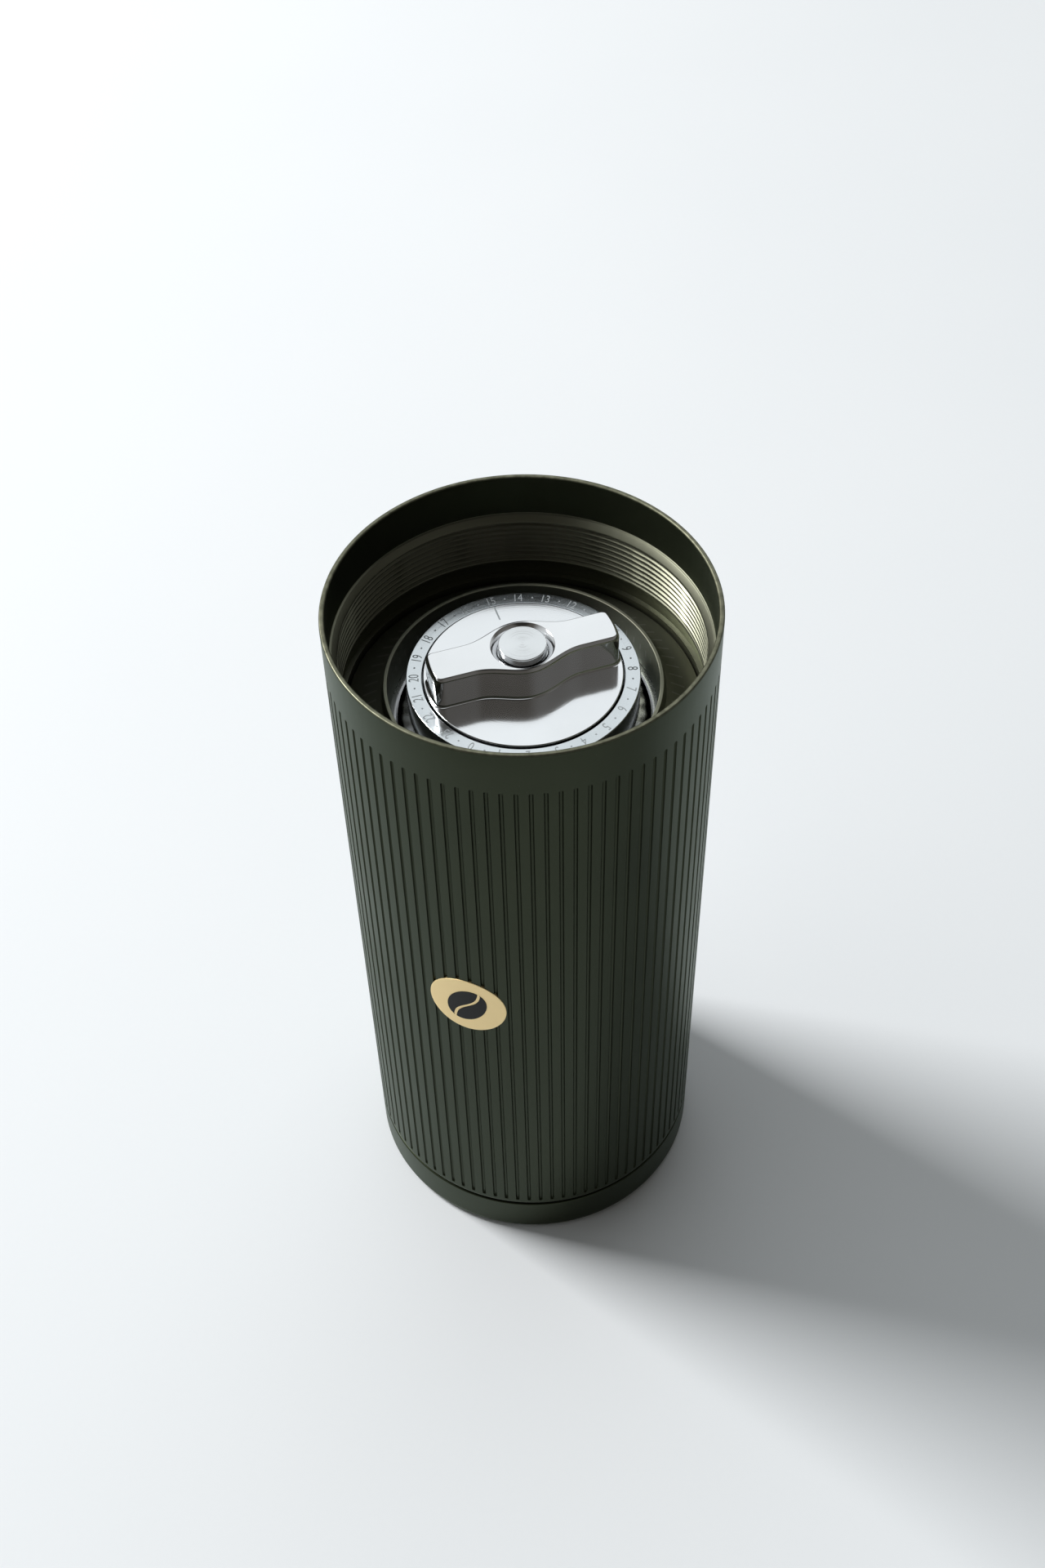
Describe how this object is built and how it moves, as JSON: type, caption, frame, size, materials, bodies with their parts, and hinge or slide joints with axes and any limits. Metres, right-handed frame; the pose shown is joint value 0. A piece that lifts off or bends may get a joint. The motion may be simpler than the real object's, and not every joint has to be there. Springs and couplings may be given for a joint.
{
  "type": "hand crank coffee grinder",
  "caption": "Slim fluted cylindrical hand coffee grinder standing on its crank end, cup off, showing the threaded cup socket and stepped steel grind dial; the crank folds along its back.",
  "frame": {"origin": "centre of the flat hub cap, on the face that the grinder stands on, on the shaft's axis", "axes": "+Z along the shaft, from the crank end up to the cup socket; the crank folds down along +Y; -Y faces the viewer"},
  "size_m": [0.058, 0.088, 0.1301],
  "materials": {
    "olive_anodised": "satin dark olive anodised",
    "ground_steel": "ground",
    "burr_steel": "hardened, ground",
    "polished_steel": "mirror polished",
    "bare_aluminium": "bead blasted",
    "brass": "turned",
    "bronze": "sintered bronze",
    "badge_gold": "matte gold anodised",
    "black_rubber": "matte",
    "white_polymer": "natural acetal",
    "walnut": "oiled"
  },
  "bodies": {
    "grinder_body": {"body_shell": "olive_anodised", "badge_plate": "badge_gold", "burr_housing": "olive_anodised", "ring_burr": "burr_steel", "burr_bridge": "bare_aluminium", "bridge_screw_1": "ground_steel", "bridge_screw_2": "ground_steel", "bridge_screw_3": "ground_steel", "head_spider": "bare_aluminium", "spider_ring": "ground_steel", "burr_bearing_outer_race": "ground_steel", "head_bearing_outer_race": "ground_steel"},
    "drive": {"burr_bearing_balls": "bare_aluminium", "burr_bearing_inner_race": "ground_steel", "head_bearing_balls": "bare_aluminium", "head_bearing_inner_race": "ground_steel", "drive_shaft": "ground_steel", "shaft_clip_1": "ground_steel", "shaft_clip_2": "ground_steel", "spring_washer": "ground_steel", "crank_disc": "olive_anodised", "glide_ring": "white_polymer", "crank_screw": "ground_steel", "hub_cap": "bare_aluminium", "crank_yoke": "ground_steel", "yoke_screw_1": "ground_steel", "yoke_screw_2": "ground_steel", "hinge_pin": "ground_steel"},
    "burr_carriage": {"inner_burr": "burr_steel", "burr_core": "ground_steel", "scale_ring": "polished_steel", "carrier_screw_1": "ground_steel", "carrier_screw_2": "ground_steel", "carrier_screw_3": "ground_steel", "detent_plate": "ground_steel", "burr_spring": "bronze"},
    "dial": {"adjust_dial": "polished_steel", "dial_nut": "brass", "dial_seal": "black_rubber", "detent_ball_1": "ground_steel", "detent_ball_2": "ground_steel", "detent_spring_1": "ground_steel", "detent_spring_2": "ground_steel"},
    "button": {"dial_button": "polished_steel", "button_spring": "ground_steel"},
    "crank_lever": {"crank_arm": "bare_aluminium", "hinge_washer_1": "bronze", "hinge_washer_2": "bronze", "arm_bumper": "black_rubber", "knob_spindle": "ground_steel", "knob_clip": "ground_steel"},
    "knob": {"knob_washer": "white_polymer", "knob_bush": "bronze", "crank_knob": "walnut", "knob_cap": "bare_aluminium"}
  },
  "joints": [
    {"name": "crank_turn", "type": "hinge", "parent": "grinder_body", "child": "drive", "pos_m": [0, 0, 0], "axis": [0, 0, 1], "continuous": true},
    {"name": "burr_shift", "type": "slide", "parent": "drive", "child": "burr_carriage", "axis": [0, 0, 1], "range_m": [-0.0002249, 0.0001349], "deforming": ["burr_spring"]},
    {"name": "dial_turn", "type": "hinge", "parent": "burr_carriage", "child": "dial", "pos_m": [0, 0, 0.1133], "axis": [0, 0, 1], "range_deg": [-225, 135]},
    {"name": "button_press", "type": "slide", "parent": "dial", "child": "button", "axis": [0, 0, -1], "range_m": [0, 0.0012], "stiffness_N_per_m": 800, "springref_m": -0.0015, "deforming": ["button_spring"]},
    {"name": "crank_fold", "type": "hinge", "parent": "drive", "child": "crank_lever", "pos_m": [0, 0.0334, 0.0042], "axis": [-1, 0, 0], "range_deg": [0, 90]},
    {"name": "knob_spin", "type": "hinge", "parent": "crank_lever", "child": "knob", "pos_m": [0, 0.047, 0.086], "axis": [0, 1, 0], "continuous": true}
  ],
  "couplings": [
    {"joint": "dial_turn", "follows": "burr_shift", "rad_per_m": 17453}
  ]
}
